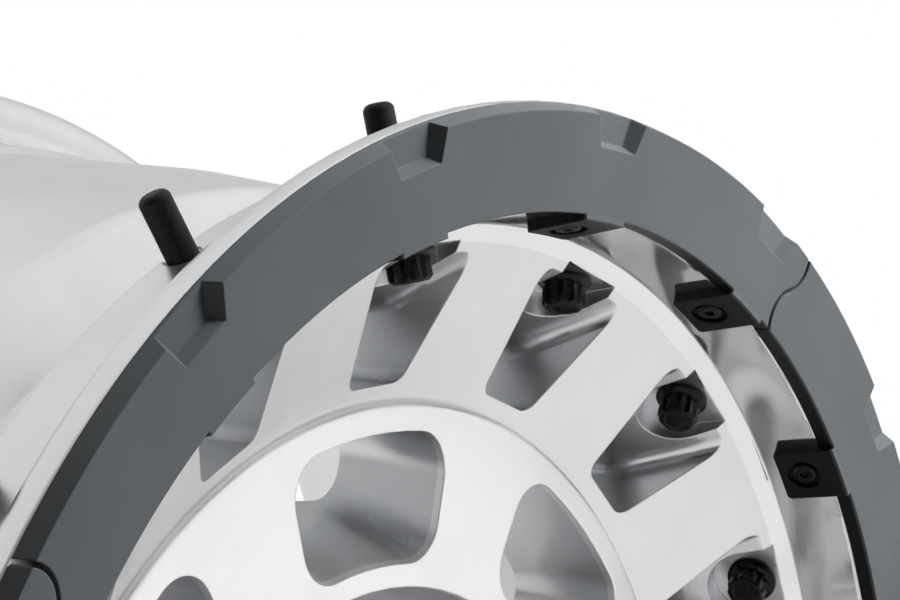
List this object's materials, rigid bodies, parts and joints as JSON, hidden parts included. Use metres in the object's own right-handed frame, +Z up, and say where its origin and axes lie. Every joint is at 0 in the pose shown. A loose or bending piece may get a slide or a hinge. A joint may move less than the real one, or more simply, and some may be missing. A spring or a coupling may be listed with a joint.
{
  "type": "car wheel",
  "caption": "Off-road car wheel without a tyre: cast rim with a deep dished face, a segmented lip guard ring, bead bolts in slots and sleeved bolt ends on the bead seat.",
  "frame": {"origin": "middle of the hub's mounting face, on the wheel's axis and on the rim's mid-plane", "axes": "+Y along the wheel's axis towards the vehicle, -Y out of the wheel's face, +Z up with the valve hole at the bottom"},
  "size_m": [0.4706, 0.2482, 0.4706],
  "materials": {
    "wheel_silver": "satin",
    "ring_grey": "satin",
    "black_steel": "satin",
    "black_rubber": "matte"
  },
  "bodies": {
    "root": {"wheel_casting": "wheel_silver", "ring_segment_1": "ring_grey", "ring_segment_2": "ring_grey", "ring_segment_3": "ring_grey", "ring_segment_4": "ring_grey", "ring_screws": "black_steel", "lock_bolts": "black_steel", "pin_sleeve_01": "black_rubber", "pin_sleeve_02": "black_rubber", "pin_sleeve_03": "black_rubber", "pin_sleeve_04": "black_rubber", "pin_sleeve_05": "black_rubber", "pin_sleeve_06": "black_rubber", "pin_sleeve_07": "black_rubber", "pin_sleeve_08": "black_rubber", "pin_sleeve_09": "black_rubber", "pin_sleeve_10": "black_rubber", "pin_sleeve_11": "black_rubber", "pin_sleeve_12": "black_rubber", "pin_sleeve_13": "black_rubber", "pin_sleeve_14": "black_rubber", "pin_sleeve_15": "black_rubber", "pin_sleeve_16": "black_rubber"}
  },
  "joints": []
}
